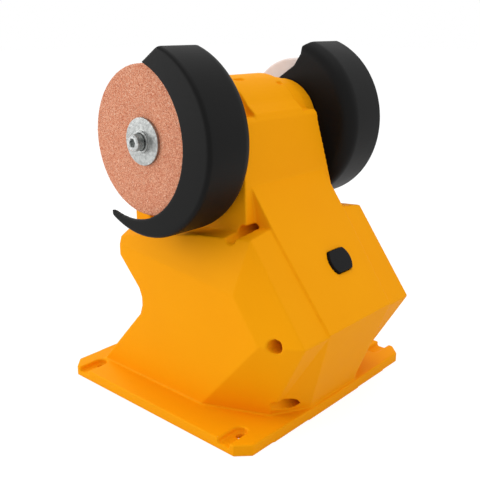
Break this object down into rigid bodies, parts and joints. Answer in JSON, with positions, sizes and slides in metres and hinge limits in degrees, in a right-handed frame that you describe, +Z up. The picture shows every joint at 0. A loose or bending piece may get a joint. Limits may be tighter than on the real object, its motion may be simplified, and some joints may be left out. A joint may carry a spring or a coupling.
{
  "type": "cordless bench grinder",
  "caption": "Small cordless bench grinder: faceted plastic body on a screw-down base, motor in the barrel on top, a wheel with guard at each end, push button on the sloped front.",
  "frame": {"origin": "middle of the four bench screw holes on the base's underside, straight below the wheel axis", "axes": "+X along the wheel axis from the grinding wheel to the polishing wheel, +Y away from the sloped face with the button, towards the working side of the wheels, +Z up"},
  "size_m": [0.1542, 0.1595, 0.1941],
  "materials": {
    "orange_plastic": "matte moulded plastic",
    "black_plastic": "matte moulded plastic",
    "black_inner_plastic": "matte",
    "steel": "machined",
    "zinc_steel": "zinc plated",
    "cast_alloy": "cast",
    "ferrite": "sintered",
    "carbon": "pressed carbon",
    "brass": "bright",
    "copper": "enamelled copper",
    "abrasive": "bonded abrasive grain",
    "felt": "pressed pale felt",
    "board_green": "coated board",
    "board_dark": "moulded parts",
    "red_wire": "insulated",
    "black_wire": "insulated"
  },
  "bodies": {
    "frame": {"left_housing": "orange_plastic", "right_housing": "orange_plastic", "housing_screws": "steel", "motor_can": "steel", "motor_magnets": "ferrite", "drive_cap": "cast_alloy", "brush_cap": "cast_alloy", "brush_holders": "brass", "carbon_brushes": "carbon", "motor_tabs": "brass", "outer_races": "steel", "left_guard": "black_plastic", "right_guard": "black_plastic", "guard_screws": "steel", "switch_body": "black_inner_plastic", "battery_dock": "black_plastic", "dock_screws": "steel", "terminal_block": "black_inner_plastic", "terminal_blades": "brass", "control_board": "board_green", "board_parts": "board_dark", "board_screws": "steel", "wires_red": "red_wire", "wires_black": "black_wire"},
    "rotor": {"spindle": "steel", "rotor_core": "steel", "rotor_windings": "copper", "commutator": "copper", "inner_races": "steel", "bearing_balls": "steel", "inner_flanges": "steel", "grinding_wheel": "abrasive", "polishing_wheel": "felt", "outer_washers": "zinc_steel", "arbor_screws": "zinc_steel"},
    "button": {"switch_button": "black_plastic"}
  },
  "joints": [
    {"name": "spindle_spin", "type": "hinge", "parent": "frame", "child": "rotor", "pos_m": [0, 0, 0.148], "axis": [1, 0, 0], "continuous": true},
    {"name": "button_press", "type": "slide", "parent": "frame", "child": "button", "axis": [0, 0.8096, -0.587], "range_m": [0, 0.0018], "stiffness_N_per_m": 1200}
  ]
}
